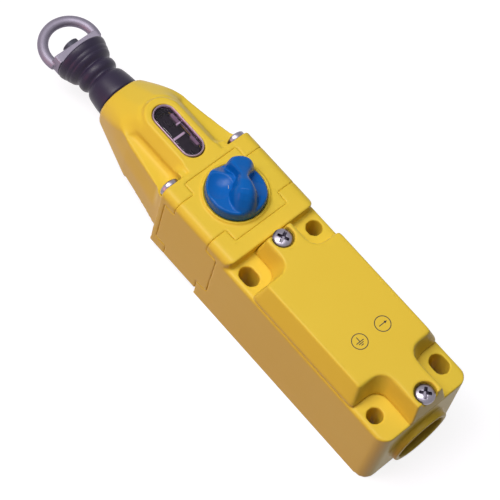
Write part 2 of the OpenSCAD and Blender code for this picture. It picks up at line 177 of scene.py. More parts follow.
def lamp(name, place, size, watts, colour):
    """A square area lamp that faces the middle of the switch."""
    data = bpy.data.lights.new(name, "AREA")
    data.shape = "SQUARE"
    data.size = size
    data.energy = watts
    data.color = colour[:3]
    item = bpy.data.objects.new(name, data)
    item.location = place
    aim = SWITCH_MIDDLE - Vector(place)
    item.rotation_euler = aim.to_track_quat("-Z", "Y").to_euler()
    scene.collection.objects.link(item)


lamp("window", (0.42, 0.36, 1.02), 0.50, 7.4, linear(255, 251, 246))
lamp("ceiling", (0.15, 0.05, 1.30), 0.70, 6.2, linear(255, 255, 255))
lamp("flank", (0.25, 1.00, 0.30), 0.50, 2.2, linear(255, 138, 158))

# %% [markdown]
# ## The floor
#
# The mounting face is at height zero, so the switch lies on a plain pale sheet. A curved
# backdrop could hide the horizon, but the camera looks down and never sees one, so a single
# quad takes the shadow. Its own glow, seen only by the camera and in reflections, lifts it to
# white without throwing more light on the switch.

# %% Lay the floor
FLOOR_HALF = 3.0
FLOOR_BELOW = 0.0002
PAPER_COLOUR = (0.24, 0.23, 0.26, 1)
PAPER_GLOW = 0.86

sheet = bpy.data.meshes.new("floor")
sheet.from_pydata([(x * FLOOR_HALF, y * FLOOR_HALF, 0)
                   for x, y in ((-1, -1), (1, -1), (1, 1), (-1, 1))], [], [(0, 1, 2, 3)])
floor = bpy.data.objects.new("floor", sheet)
floor.location.z = -FLOOR_BELOW
scene.collection.objects.link(floor)

paper = bpy.data.materials.new("pale paper")
tree = empty_tree(paper)
matt = tree.nodes.new("ShaderNodeBsdfDiffuse")
matt.inputs["Color"].default_value = PAPER_COLOUR
dark = tree.nodes.new("ShaderNodeEmission")
dark.inputs["Strength"].default_value = 0
glow = tree.nodes.new("ShaderNodeEmission")
glow.inputs["Strength"].default_value = PAPER_GLOW
both = tree.nodes.new("ShaderNodeAddShader")
output = tree.nodes.new("ShaderNodeOutputMaterial")
link(tree, matt, 0, both, 0)
link(tree, mixed(tree, seen_in_reflections(tree), dark, glow), 0, both, 1)
link(tree, both, 0, output, 0)
sheet.materials.append(paper)
print("floor is", 2 * FLOOR_HALF, "m wide")

# %% [markdown]
# ## Finishes
#
# Every finish starts from the same recipe: a base colour that drifts a little between two
# tones, a roughness that drifts too, and a fine bump. A scanned texture would need
# unwrapping, and it would stretch over the rounded castings, so the pattern comes from noise
# in object coordinates, in metres. What differs from one finish to the next is the scale.

# %% Two noises in object coordinates
DRIFT_DETAIL, GRAIN_DETAIL = 4, 2


def two_noises(tree, drift, grain, stretch):
    """A coarse noise for the drift and a fine one for the bump."""
    place = tree.nodes.new("ShaderNodeTexCoord")
    scale = tree.nodes.new("ShaderNodeMapping")
    scale.inputs["Scale"].default_value = stretch
    link(tree, place, "Object", scale, 0)
    noises = []
    for size, detail in ((drift, DRIFT_DETAIL), (grain, GRAIN_DETAIL)):
        noise = tree.nodes.new("ShaderNodeTexNoise")
        noise.inputs["Scale"].default_value = size
        noise.inputs["Detail"].default_value = detail
        link(tree, scale, 0, noise, "Vector")
        noises.append(noise)
    return noises


print("the coarse noise adds", DRIFT_DETAIL, "finer layers, and the fine one", GRAIN_DETAIL)

# %% The shared recipe
BUMP_HEIGHT = 0.0001


def finish(name, tone, other, *, metallic=0.0, rough=(0.3, 0.4), drift=90, grain=1500,
           bump=0.1, stretch=(1, 1, 1), **sockets):
    """A material whose colour and roughness drift, with a fine bump of the given grain."""
    material = bpy.data.materials.new(name)
    material.use_nodes = True
    tree = material.node_tree
    shader = tree.nodes["Principled BSDF"]
    shader.inputs["Metallic"].default_value = metallic
    for socket, value in sockets.items():
        shader.inputs[socket.replace("_", " ")].default_value = value
    cloud, fine = two_noises(tree, drift, grain, stretch)

    tint = tree.nodes.new("ShaderNodeMix")
    tint.data_type = "RGBA"
    tint.inputs[6].default_value = tone
    tint.inputs[7].default_value = other
    link(tree, cloud, "Fac", tint, 0)
    link(tree, tint, 2, shader, "Base Color")
    spread = tree.nodes.new("ShaderNodeMapRange")
    spread.inputs["To Min"].default_value, spread.inputs["To Max"].default_value = rough
    link(tree, cloud, "Fac", spread, "Value")
    link(tree, spread, 0, shader, "Roughness")
    relief = tree.nodes.new("ShaderNodeBump")
    relief.inputs["Strength"].default_value = bump
    relief.inputs["Distance"].default_value = BUMP_HEIGHT
    link(tree, fine, "Fac", relief, "Height")
    link(tree, relief, 0, shader, "Normal")
    return material


print("finest bump:", BUMP_HEIGHT / MM, "mm high")

# %% [markdown]
# ## Paint and plating
#
# The castings are powder painted in safety yellow, which leaves an orange peel of about half a
# millimetre and a soft gloss. The screws are nickel plated and bright, and the eye is zinc
# plated and duller. A clear coat over the paint would look wet, so its gloss is turned down
# and the roughness alone makes the satin.

# %% Mix the paint and the platings
paint = finish(
    "yellow powder paint", linear(232, 202, 68), linear(228, 195, 60),
    rough=(0.32, 0.38), drift=40, grain=1400, bump=0.08, Specular_IOR_Level=0.14)
plating = finish(
    "bright nickel plating", linear(158, 152, 164), linear(132, 126, 140),
    metallic=1.0, rough=(0.28, 0.36), drift=400, grain=3000, bump=0.05)
eye_plating = finish(
    "satin zinc plating", linear(142, 136, 152), linear(124, 118, 134),
    metallic=0.85, rough=(0.50, 0.58), drift=250, grain=1300, bump=0.2)
green_plating = finish(
    "green earth screw", linear(120, 150, 60), linear(100, 130, 50),
    metallic=0.6, rough=(0.3, 0.4), drift=300, grain=1500, bump=0.1)
print("paint nodes:", len(paint.node_tree.nodes))

# %% [markdown]
# ## Bare metals
#
# Inside the casing there is ground and blackened steel, drawn spring wire, turned bronze and
# stamped brass. Tool marks run one way, which an anisotropic shader could suggest. Stretching
# the noise along one axis is simpler, and it keeps the lines in place when the piece moves.

# %% Mix the bare metals
steel = finish(
    "ground steel", linear(165, 165, 170), linear(140, 140, 146),
    metallic=1.0, rough=(0.25, 0.4), drift=300, grain=900, bump=0.12, stretch=(1, 8, 8))
dark_steel = finish(
    "black oxide steel", linear(84, 84, 96), linear(66, 66, 78),
    metallic=0.9, rough=(0.4, 0.5), drift=300, grain=900, bump=0.12)
spring_steel = finish(
    "drawn wire", linear(150, 150, 156), linear(120, 120, 128),
    metallic=1.0, rough=(0.25, 0.35), drift=500, grain=2000, bump=0.1)
bronze = finish(
    "turned bronze", linear(178, 130, 74), linear(150, 104, 58),
    metallic=1.0, rough=(0.3, 0.42), drift=200, grain=900, bump=0.15, stretch=(8, 1, 1))
brass = finish(
    "stamped brass", linear(205, 172, 98), linear(186, 150, 80),
    metallic=1.0, rough=(0.22, 0.34), drift=300, grain=1200, bump=0.1)
bare_metals = (steel, dark_steel, spring_steel, bronze, brass)
print("bare metals:", ", ".join(metal.name for metal in bare_metals))

# %% [markdown]
# ## Rubber, plastic and ink
#
# The boot is a soft moulded rubber with a faint bloom, which the sheen gives. The knob is a
# glossy blue plastic, and the contact block and its carrier are a matt black and an ivory
# moulding. Light that scatters under the surface would soften the knob, but this plastic is
# opaque. All of them are nearly even in colour, so the two tones of each lie close together.

# %% Mix the rubbers, plastics and inks
seal_rubber = finish(
    "black seal rubber", linear(34, 33, 36), linear(26, 25, 28),
    rough=(0.6, 0.7), drift=300, grain=1500, bump=0.2)
boot_rubber = finish(
    "moulded boot rubber", linear(44, 36, 62), linear(34, 27, 50),
    rough=(0.36, 0.46), drift=120, grain=1800, bump=0.12, Specular_IOR_Level=0.3,
    Sheen_Weight=0.15, Sheen_Roughness=0.4)
knob_plastic = finish(
    "blue moulded plastic", linear(3, 101, 188), linear(3, 93, 176),
    rough=(0.22, 0.28), drift=80, grain=2200, bump=0.04, Specular_IOR_Level=0.15)
black_plastic = finish(
    "black moulded plastic", linear(28, 20, 34), linear(22, 16, 28),
    rough=(0.55, 0.65), drift=200, grain=1800, bump=0.0, Specular_IOR_Level=0.1)
ivory_plastic = finish(
    "ivory moulded plastic", linear(225, 220, 205), linear(214, 208, 192),
    rough=(0.4, 0.5), drift=150, grain=1800, bump=0.1)
ink = finish(
    "black printing ink", linear(38, 30, 30), linear(30, 24, 24),
    rough=(0.5, 0.6), drift=400, grain=2500, bump=0.02)
white_print = finish(
    "white index line", linear(250, 244, 250), linear(238, 230, 240),
    rough=(0.4, 0.5), drift=900, grain=3000, bump=0.05)
print("knob colour:", [round(value, 3) for value in linear(3, 101, 188)[:3]])

# %% [markdown]
# ## The window's finishes
#
# The window is a clear moulding over a black sleeve of painted shade that covers the casting's
# wall. The rim catches light from the side, and its pale violet-grey with a little metal gloss
# is a painted reflection of that light; the posts under it are frosted. Full refraction in so
# thin a pane only adds noise, so the pane is a tinted transparent shader under a thin gloss.
# The slant of the surface decides how much of each shows: little gloss straight on, and more at
# a grazing angle.

# %% Mix the rim's painted reflection, the posts and the clear pane
PANE_TINT = (0.86, 0.80, 0.87, 1)
GLOSS_TINT = (0.9, 0.86, 0.92, 1)
GLOSS_ROUGH = 0.06
LEAST_GLOSS, MOST_GLOSS = 0.02, 0.7
SLANT_BLEND, SLANT_POWER = 0.3, 4

# The rim's pale colour and metal gloss paint the reflection of the light that the clear rim
# catches.
rim_painted_reflection = finish(
    "lens rim painted reflection", linear(178, 158, 176), linear(150, 130, 150),
    metallic=0.3, rough=(0.18, 0.26), drift=500, grain=2500, bump=0.04)
lens_post = finish(
    "frosted lens post", linear(158, 138, 152), linear(136, 116, 134),
    rough=(0.4, 0.5), drift=600, grain=2500, bump=0.03)

clear = bpy.data.materials.new("clear lens")
tree = empty_tree(clear)
through = tree.nodes.new("ShaderNodeBsdfTransparent")
through.inputs["Color"].default_value = PANE_TINT
gloss = tree.nodes.new("ShaderNodeBsdfGlossy")
gloss.inputs["Color"].default_value = GLOSS_TINT
gloss.inputs["Roughness"].default_value = GLOSS_ROUGH
slant = tree.nodes.new("ShaderNodeLayerWeight")
slant.inputs["Blend"].default_value = SLANT_BLEND
steep = tree.nodes.new("ShaderNodeMath")
steep.operation = "POWER"
steep.inputs[1].default_value = SLANT_POWER
share = tree.nodes.new("ShaderNodeMapRange")
share.inputs["To Min"].default_value = LEAST_GLOSS
share.inputs["To Max"].default_value = MOST_GLOSS
link(tree, slant, "Facing", steep, 0)
link(tree, steep, 0, share, "Value")
output = tree.nodes.new("ShaderNodeOutputMaterial")
link(tree, mixed(tree, share, through, gloss), 0, output, 0)
print("gloss on the pane runs from", LEAST_GLOSS, "to", MOST_GLOSS)

# %% [markdown]
# ## Castings
#
# The housing parts are zinc castings. Their solids have knife edges, and a real casting has
# none: the metal, and the paint on it, round every edge and fill every corner. Bevelling each
# edge by hand breaks down where many cuts meet. So each casting is copied from its solid,
# remeshed into small even voxels, and smoothed, which melts edges and corners alike. A last
# decimation takes the flat faces' spare vertices away.

# %% Copy a solid
SAME_SPOT = 1e-6


def twin(node, name):
    """A welded copy of a solid's mesh, as a piece of its own."""
    piece = nodes[node].copy()
    piece.data = nodes[node].data.copy()
    for key in list(piece.keys()):
        del piece[key]
    piece.parent = None
    piece.name = name
    scene.collection.objects.link(piece)
    mesh = bmesh.new()
    mesh.from_mesh(piece.data)
    bmesh.ops.remove_doubles(mesh, verts=mesh.verts, dist=SAME_SPOT)
    mesh.to_mesh(piece.data)
    mesh.free()
    return piece


def dress(piece, body, material):
    """Gives a piece its finish and the body it moves with."""
    piece.data.materials.clear()
    piece.data.materials.append(material)
    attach(piece, body)
    return piece


print("points closer than", SAME_SPOT / MM, "mm are welded")

# %% Modifiers that become mesh
def modify(piece, kind, **settings):
    """Adds a modifier to a piece and sets its values."""
    modifier = piece.modifiers.new(kind.lower(), kind)
    for key, value in settings.items():
        setattr(modifier, key, value)


def bake_modifiers(piece):
    """Turns the modified shape into the piece's own mesh, shaded smooth."""
    shape = piece.evaluated_get(bpy.context.evaluated_depsgraph_get())
    piece.data = bpy.data.meshes.new_from_object(shape)
    piece.modifiers.clear()
    piece.vertex_groups.clear()
    for polygon in piece.data.polygons:
        polygon.use_smooth = True


def soften(piece, places, passes):
    """Smooths a piece harder near some places, each a centre and a reach in metres."""
    near = piece.vertex_groups.new(name="near")
    for vertex in piece.data.vertices:
        weight = max(1 - (vertex.co - Vector(centre)).length / reach for centre, reach in places)
        if weight > 0:
            near.add([vertex.index], min(1.0, 2 * weight), "REPLACE")
    modify(piece, "SMOOTH", factor=0.5, iterations=passes, vertex_group="near")


print("the base's solid has", len(nodes["base_housing"].data.polygons), "faces before melting")

# %% Melt the base
def melted(node, name, body, material, slot, *, voxel, passes, keep, soft=(), soft_passes=0,
           shape=None):
    """A rounded copy of a solid that stands for it, with a shape function for each point."""
    piece = twin(node, name)
    modify(piece, "REMESH", mode="VOXEL", voxel_size=voxel, use_smooth_shade=True)
    bake_modifiers(piece)
    if shape:
        for vertex in piece.data.vertices:
            vertex.co = shape(vertex.co)
    if soft:
        soften(piece, soft, soft_passes)
    modify(piece, "SMOOTH", factor=0.5, iterations=passes)
    modify(piece, "DECIMATE", ratio=keep)
    bake_modifiers(piece)
    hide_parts(node)
    print(name, "has", len(piece.data.polygons), "faces")
    return dress(piece, body, material)


def cast(node, **melting):
    """Melts one of the painted castings of the housing."""
    return melted(node, f"{node}_casting", "housing", paint, "housing", **melting)


cast("base_housing", voxel=0.40 * MM, passes=6, keep=0.30)

# %% [markdown]
# ## The cover and the middle block
#
# The cover closes the wiring chamber, and the middle block carries the knob. The cover's
# corners are scooped out where the fixing screws go in, and a scoop in a casting has a wide
# fillet all round its foot. A fillet could be cut into the solid, but its edges cross the
# sloping sides. More smoothing near the four holes gives the same fillet.

# %% Melt the cover and the middle block
HOLE_X, HOLE_Y = 30 * MM, 14 * MM
SCOOP_Z = 37 * MM
SCOOP_REACH = 11 * MM

scoops = [((sx * HOLE_X, sy * HOLE_Y, SCOOP_Z), SCOOP_REACH) for sx in (-1, 1) for sy in (-1, 1)]
cast("base_cover", voxel=0.30 * MM, passes=16, keep=0.35, soft=scoops, soft_passes=200)
cast("middle_block", voxel=0.33 * MM, passes=4, keep=0.35)
print("scoops:", len(scoops))

# %% [markdown]
# ## The head
#
# Two flutes run back from the head's brows to its long screws. The lip between each flute and
# the flank is worn low, so that the flute falls away to the outside. Sculpting could do this,
# but a sculpted stroke can't be written down. Here every point moves by a rule instead: the
# higher it stands over the flute's floor and the nearer it is to the flank, the more it sinks.

# %% Melt the head
FLANGE_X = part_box("body_screws")[1].x - 0.6 * MM
BROW_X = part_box("rubber_boot")[0].x - 13 * MM
FLANGE_RUN, BROW_RUN = 3 * MM, 11 * MM
FLUTE_XS, FLUTE_Y, FLUTE_Z = (80, 86, 94), 12.5 * MM, 32 * MM
FLUTE_REACH = 10 * MM
FLUTE_FLOOR = 29.5 * MM
LIP_STARTS = 0.52
LIP_SINKS = 0.8
FLANK_NARROWS = 0.07
FLANK_RUN = 12 * MM

flutes = [((x * MM, side * FLUTE_Y, FLUTE_Z), FLUTE_REACH)
          for x in FLUTE_XS for side in (-1, 1)]


def between(low, high, value):
    """0 below low and 1 above high, with a soft step between them."""
    share = min(1.0, max(0.0, (value - low) / (high - low)))
    return share * share * (3 - 2 * share)


def worn_lips(point):
    """Lowers the flutes' outer lips and the brows beyond them, so they fall to the flanks."""
    outer = between(LIP_STARTS * FLUTE_Y, FLUTE_Y, abs(point.y))
    along = between(FLANGE_X, FLANGE_X + FLANGE_RUN, point.x) * (
        1 - between(BROW_X, BROW_X + BROW_RUN, point.x))
    drop = LIP_SINKS * outer * along * max(0.0, point.z - FLUTE_FLOOR)
    narrow = 1 - FLANK_NARROWS * along * between(FLUTE_FLOOR - FLANK_RUN, FLUTE_FLOOR, point.z)
    return Vector((point.x, point.y * narrow, point.z - drop))


cast("head_housing", voxel=0.30 * MM, passes=9, keep=0.35, soft=flutes, soft_passes=50,
     shape=worn_lips)

# %% [markdown]
# ## The eye
#
# The eye takes the rope's hook. It is a drop forging, plated after it is made, so its ring
# flows into the bar without an edge. A torus and a cylinder would meet in a hard line, so the
# eye is melted like the castings, with finer voxels because its ring is thin.

# %% Forge the eye
melted("eye_nut", "eye_nut_forging", "shaft", eye_plating, "eye_metal",
       voxel=0.20 * MM, passes=8, keep=0.5)

# %% [markdown]
# ## Skins
#
# The pieces that follow are drawn point by point. Each one is a row of loops with faces
# between them, so a few helpers do that work: one skins two loops, one closes a row of loops,
# and one hangs the finished mesh in the scene. Lofting curves would need a curve for each
# loop, and the loops here come straight from a formula.

# %% Helpers that skin a mesh
def hung(mesh, name):
    """Ends a mesh, with its faces turned outward, and hangs it in the scene as a piece."""
    bmesh.ops.recalc_face_normals(mesh, faces=mesh.faces)
    data = bpy.data.meshes.new(name)
    mesh.to_mesh(data)
    mesh.free()
    piece = bpy.data.objects.new(name, data)
    scene.collection.objects.link(piece)
    return piece


def skin(mesh, low, high):
    """Four-sided faces between two loops."""
    for a in range(len(low)):
        b = (a + 1) % len(low)
        mesh.faces.new((low[a], low[b], high[b], high[a]))


def skin_between_tips(mesh, tip, loops, foot):
    """Skins a row of loops, and ends it in a point above and a point below."""
    for end, loop in ((tip, loops[0]), (foot, loops[-1])):
        for a, spot in enumerate(loop):
            mesh.faces.new((end, spot, loop[(a + 1) % len(loop)]))
    for upper, lower in zip(loops, loops[1:]):
        skin(mesh, upper, lower)


def skin_row(mesh, loops, closed=False):
    """Skins a row of loops, and closes it on itself or caps its two ends."""
    for low, high in zip(loops, loops[1:] + (loops[:1] if closed else [])):
        skin(mesh, low, high)
    if not closed:
        mesh.faces.new(loops[0][::-1])
        mesh.faces.new(loops[-1])


# %% [markdown]
# ## The reset knob
#
# The grip is hard to build from solids, because nothing on it is straight: a bulb for the
# palm side narrows to a neck and spreads into a pointer, between two hollows for the fingers.
# It has no overhang, though, so one height for each spot of the disc says it all. The two
# hollows differ, because the grip isn't centred on the disc.

# %% Measure the knob
KNOB_LOW, KNOB_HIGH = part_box("reset_knob")
SPINDLE = sum(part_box("knob_spindle"), Vector()) / 2
KNOB_POINTS = math.radians(-52)
DISC_R = 10.1
print("knob stands", round((KNOB_HIGH.z - KNOB_LOW.z) / MM, 2), "mm over its seat")

# %% The grip's height over the disc
GRIP_MIDDLE = [(-9, -3.2), (-4, -2.7), (-1.5, -2.6), (2.6, -1.1), (7, 0.5), (11, 0.5)]
GRIP_HALF = [(-10, 3.6), (-8, 4.4), (-5, 4.9), (-2.5, 4.8), (0, 3.9), (2.6, 2.4), (4.5, 3.2),
             (7, 4.9), (9, 4.9), (11, 4.2)]
GRIP_CREST = [(-10.2, 2.2), (-9.4, 3.8), (-8, 6.4), (-6.5, 8.6), (-5, 10.1), (-3.5, 10.9),
              (0, 10.4), (2.6, 9.0), (6, 7.4), (9, 6.4), (10.8, 5.6)]
GRIP_FALLS = 7
BULB_FLAT, POINTER_FLATTER = 3.2, 2.8
HOLLOW_U, HOLLOW_V, HOLLOW_R, HOLLOW_DEPTH = -1.5, 5.8, 4.7, 1.5
LEFT_LOBE, LEFT_SLOPE, LEFT_FALLS_FROM = 4.6, 1.0, 3.5
RIGHT_LOBE, RIGHT_SLOPE, RIGHT_FALLS_FROM = 3.5, 0.45, -1
NECK_U, POINTER_U = 1, 7
DISC_EDGE = 0.8
FILLET = 0.4


def along_curve(stations, x):
    """The value at x on a line through (x, value) stations."""
    for (x0, y0), (x1, y1) in zip(stations, stations[1:]):
        if x <= x1:
            return y0 + (y1 - y0) * max(0.0, (x - x0) / (x1 - x0))
    return stations[-1][1]


def knob_height(u, v):
    """Height over the seat, in millimetres, u along the pointer and v to its left."""
    middle, half = along_curve(GRIP_MIDDLE, u), along_curve(GRIP_HALF, u)
    flatness = BULB_FLAT + POINTER_FLATTER * between(NECK_U, POINTER_U, u)
    grip = along_curve(GRIP_CREST, u) - GRIP_FALLS * (abs(v - middle) / half) ** flatness
    if v > middle:
        hollow = 1 - ((u - HOLLOW_U) ** 2 + (v - HOLLOW_V) ** 2) / HOLLOW_R ** 2
        lobe = (LEFT_LOBE - HOLLOW_DEPTH * max(0.0, hollow)
                - LEFT_SLOPE * max(0.0, u - LEFT_FALLS_FROM))
    else:
        lobe = RIGHT_LOBE - RIGHT_SLOPE * max(0.0, u - RIGHT_FALLS_FROM)
    gap = max(0.0, FILLET - abs(grip - lobe)) / FILLET
    return max(grip, lobe, DISC_EDGE) + gap * gap * FILLET / 4


print("bulb:", round(knob_height(-3.5, -2.7), 2), "mm, neck:", round(knob_height(2.6, -1.1), 2))

# %% Draw the knob point by point
LIP_R = 0.7
NOSE_GROWS, NOSE_ANGLE = 0.6, 0.25
WALL_FLARE = 0.15
WALL_RINGS = (0.15, 0.3, 0.5, 0.7, 0.85, 1)
LEAST_EDGE = 0.3


def moulded_knob(sides=160, rings=56):
    """A disc whose top follows knob_height, with a rounded lip and a plain wall."""
    mesh = bmesh.new()
    turn = Matrix.Translation((SPINDLE.x, SPINDLE.y, KNOB_LOW.z)) @ Matrix.Rotation(
        KNOB_POINTS, 4, "Z")

    def spot(radius, angle, height):
        return turn @ (Vector((radius * math.cos(angle), radius * math.sin(angle), height)) * MM)

    angles = [2 * math.pi * step / sides for step in range(sides)]
    top = mesh.verts.new(spot(0, 0, knob_height(0, 0)))
    loops = []
    for ring in range(1, rings + 1):
        loop = []
        for angle in angles:
            nose = math.exp(-(min(angle, 2 * math.pi - angle) / NOSE_ANGLE) ** 2)
            edge = DISC_R + NOSE_GROWS * nose
            radius = edge * ring / rings
            inward = max(0.0, radius - edge + LIP_R) / LIP_R
            height = knob_height(radius * math.cos(angle), radius * math.sin(angle))
            height -= LIP_R * (1 - math.sqrt(max(0.0, 1 - inward * inward)))
            loop.append(mesh.verts.new(spot(radius, angle, max(LEAST_EDGE, height))))
        loops.append(loop)
    rim_spots = [vertex.co.copy() for vertex in loops[-1]]
    foot_spots = [spot(DISC_R + WALL_FLARE, angle, 0) for angle in angles]
    for share in WALL_RINGS:
        loops.append([mesh.verts.new(rim_spot.lerp(foot_spot, share))
                      for rim_spot, foot_spot in zip(rim_spots, foot_spots)])
    skin_between_tips(mesh, top, loops, mesh.verts.new(spot(0, 0, 0)))
    return hung(mesh, "reset_knob_moulding")


knob = moulded_knob()
print("knob is", round(max(knob.dimensions.xy) / MM, 2), "mm across")

# %% Smooth and colour the knob
SMOOTH_ABOVE = KNOB_LOW.z + 0.8 * MM

upper = knob.vertex_groups.new(name="upper")
upper.add([vertex.index for vertex in knob.data.vertices if vertex.co.z > SMOOTH_ABOVE], 1.0,
          "REPLACE")
modify(knob, "SMOOTH", factor=0.5, iterations=4, vertex_group="upper")
bake_modifiers(knob)
dress(knob, "knob", knob_plastic)
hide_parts("reset_knob")
print("knob has", len(knob.data.polygons), "faces")

# %% [markdown]
# ## The rubber boot
#
# The boot keeps water off the shaft and stretches when the rope is pulled. It is a thing
# made on a lathe. A screw modifier could turn its profile, but the turned mesh is needed at
# once, so a function spins the profile round the shaft's axis, and a subdivision surface rounds
# the folds. On the switch one end stays in the nose and the other rides on the shaft, but this
# mesh is not tied to the shaft, and it does not stretch.

# %% Spin a profile round the shaft
AXIS_Z = sum(corner.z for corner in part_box("pull_shaft")) / 2


def spun(name, profile, sides=64):
    """A closed profile of (x, radius) points, in millimetres, turned round the shaft's axis."""
    mesh = bmesh.new()
    rings = []
    for step in range(sides):
        angle = 2 * math.pi * step / sides
        rings.append([mesh.verts.new((x * MM, r * MM * math.sin(angle),
                                      AXIS_Z + r * MM * math.cos(angle))) for x, r in profile])
    skin_row(mesh, rings, closed=True)
    return hung(mesh, name)


print("shaft's axis is", round(AXIS_Z / MM, 2), "mm over the mounting face")

# %% Mould the boot
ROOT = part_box("rubber_boot")[0].x / MM
BOOT_OUTSIDE = [
    (0, 8.2), (2.4, 8.2), (2.7, 7.5), (3.5, 7.5), (3.8, 8.15), (4.6, 8.2), (7.5, 7.9),
    (10.2, 7.5), (11.2, 7.15), (11.8, 6.6), (12.2, 6.15), (12.9, 6.1), (13.4, 6.5), (14, 7.2),
    (15.3, 7.4), (16.3, 7.3), (16.8, 6.8), (17.2, 6.7), (17.7, 7.2), (18.5, 8.1), (19.4, 8.5),
    (19.7, 8.35), (20.0, 8.7), (21, 9.0), (21.3, 8.85), (21.6, 9.2), (22.8, 9.65),
    (23.7, 9.8), (24.15, 9.6), (24.3, 9.1)]
BOOT_INSIDE = [
    (24.3, 3.98), (20, 3.98), (16.8, 5.6), (15, 5.9), (13, 4.9), (11, 5.4), (4, 6.6), (0, 6.9)]

boot = spun("rubber_boot_moulding", [(ROOT + x, r) for x, r in BOOT_OUTSIDE + BOOT_INSIDE])
modify(boot, "SUBSURF", levels=1, render_levels=1)
bake_modifiers(boot)
boot.data.materials.append(boot_rubber)
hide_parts("rubber_boot")
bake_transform(boot)
print("boot has", len(boot.data.polygons), "faces")

# %% [markdown]
# ## The window
#
# The lens is a thick clear moulding with a raised, rounded rim that catches the light. One
# mesh with two materials could show it, but the export wants one finish for each piece, so
# two pieces share its place: the pane, which is the clear part, and the rim round it.

# %% Outlines of the window
LENS_LOW, LENS_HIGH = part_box("window_lens")
LENS_MID = (LENS_LOW + LENS_HIGH) / 2
LENS_R = (LENS_HIGH.y - LENS_LOW.y) / 2
LENS_A = (LENS_HIGH.x - LENS_LOW.x) / 2 - LENS_R


def obround(radius, height, arc=16):
    """Points of a slot's outline round the lens's middle, at one height."""
    points = []
    for side in (1, -1):
        for step in range(arc + 1):
            angle = math.pi * (step / arc - 0.5) + (0 if side > 0 else math.pi)
            points.append((LENS_MID.x + side * LENS_A + radius * math.cos(angle),
                           LENS_MID.y + radius * math.sin(angle), height))
    return points


def banded(name, outlines, closed):
    """Skins a row of outlines, with the bands shaded smooth and the caps flat."""
    mesh = bmesh.new()
    skin_row(mesh, [[mesh.verts.new(point) for point in outline] for outline in outlines],
             closed)
    piece = hung(mesh, name)
    for polygon in piece.data.polygons:
        polygon.use_smooth = len(polygon.vertices) == 4
    return piece


print("window is", round(2 * LENS_R / MM, 2), "mm wide")

# %% The pane and its rim
RIM_WIDTH = 1.1 * MM
RIM_GAP = 0.3 * MM
FOOT, TOP = LENS_LOW.z + 0.1 * MM, LENS_HIGH.z
INNER_R, OUTER_R = LENS_R - RIM_WIDTH, LENS_R - RIM_GAP

pane = banded("window_pane", [
    obround(INNER_R + 0.1 * MM, FOOT),
    obround(INNER_R + 0.1 * MM, TOP - 0.6 * MM),
    obround(INNER_R - 0.3 * MM, TOP - 0.45 * MM)], False)
rim = banded("window_rim", [
    obround(OUTER_R, FOOT),
    obround(OUTER_R, TOP - 0.35 * MM),
    obround(OUTER_R - 0.12 * MM, TOP - 0.1 * MM),
    obround(OUTER_R - 0.3 * MM, TOP),
    obround(INNER_R + 0.45 * MM, TOP - 0.05 * MM),
    obround(INNER_R + 0.2 * MM, TOP - 0.3 * MM),
    obround(INNER_R + 0.12 * MM, TOP - 0.7 * MM),
    obround(INNER_R + 0.12 * MM, FOOT)], True)
dress(pane, "housing", clear)
dress(rim, "housing", rim_painted_reflection)
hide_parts("window_lens")
print("pane and rim have", len(pane.data.polygons) + len(rim.data.polygons), "faces")

# %% [markdown]
# ## Under the pane
#
# Two frosted posts, a ledge and a white marker are moulded to the pane's underside. They show
# where the shaft has to stand when the rope is tight. Under them a black sleeve lines the
# window's pocket; it is painted shade, dark where the casting's yellow wall stands in shade.
# Blocks with broken edges are enough, because only their tops are seen, and the sleeve is a
# tube of the window's own outlines.

# %% Hang the posts, the ledge, the marker and the black sleeve of painted shade
PANE_FOOT = LENS_LOW.z / MM + 0.05
PANE_X = LENS_MID.x / MM
POSTS_X, POST_HALF, POST_H, POST_Y = (-5.3, 4.7), 2, 1.6, (-3.4, -2.1)
LEDGE_X, LEDGE_H, LEDGE_Y = (-8, 2.2), 0.5, (-3.3, -3.0)
MARKER_X, MARKER_H, MARKER_Y = (2.3, 2.8), 0.7, (-3.6, -1.4)
POST_EDGE, THIN_EDGE = 0.2, 0.08
SHADE_SLEEVE_IN, SHADE_SLEEVE_OUT, SHADE_SLEEVE_DEPTH = -0.15, 0.05, 2.8


def hanging_block(name, from_x, to_x, across, height, material, edge):
    """A small block under the pane, in millimetres, with broken edges."""
    low = (PANE_X + from_x, across[0], PANE_FOOT - height)
    high = (PANE_X + to_x, across[1], PANE_FOOT)
    mesh = bmesh.new()
    made = bmesh.ops.create_cube(mesh, size=1)
    for vertex in made["verts"]:
        vertex.co = Vector([MM * ((a + b) / 2 + (b - a) * c)
                            for a, b, c in zip(low, high, vertex.co)])
    bmesh.ops.bevel(mesh, geom=mesh.edges[:], offset=edge * MM, segments=2, affect="EDGES")
    dress(hung(mesh, name), "housing", material)


for number, x in enumerate(POSTS_X):
    hanging_block(f"window_post_{number + 1}", x - POST_HALF, x + POST_HALF, POST_Y, POST_H,
                  lens_post, POST_EDGE)
hanging_block("window_ledge", *LEDGE_X, LEDGE_Y, LEDGE_H, lens_post, THIN_EDGE)
hanging_block("window_marker", *MARKER_X, MARKER_Y, MARKER_H, white_print, THIN_EDGE)
# The black sleeve is painted shade: it covers the casting's yellow wall in the window's pocket.
shade_sleeve = banded("window_shade_sleeve", [
    obround(INNER_R + extra * MM, (PANE_FOOT - depth) * MM)
    for extra, depth in ((SHADE_SLEEVE_OUT, SHADE_SLEEVE_DEPTH), (SHADE_SLEEVE_OUT, 0), (SHADE_SLEEVE_IN, 0),
                         (SHADE_SLEEVE_IN, SHADE_SLEEVE_DEPTH))], True)
dress(shade_sleeve, "housing", black_plastic)
print("posts:", len(POSTS_X), "- well is", SHADE_SLEEVE_DEPTH, "mm deep")

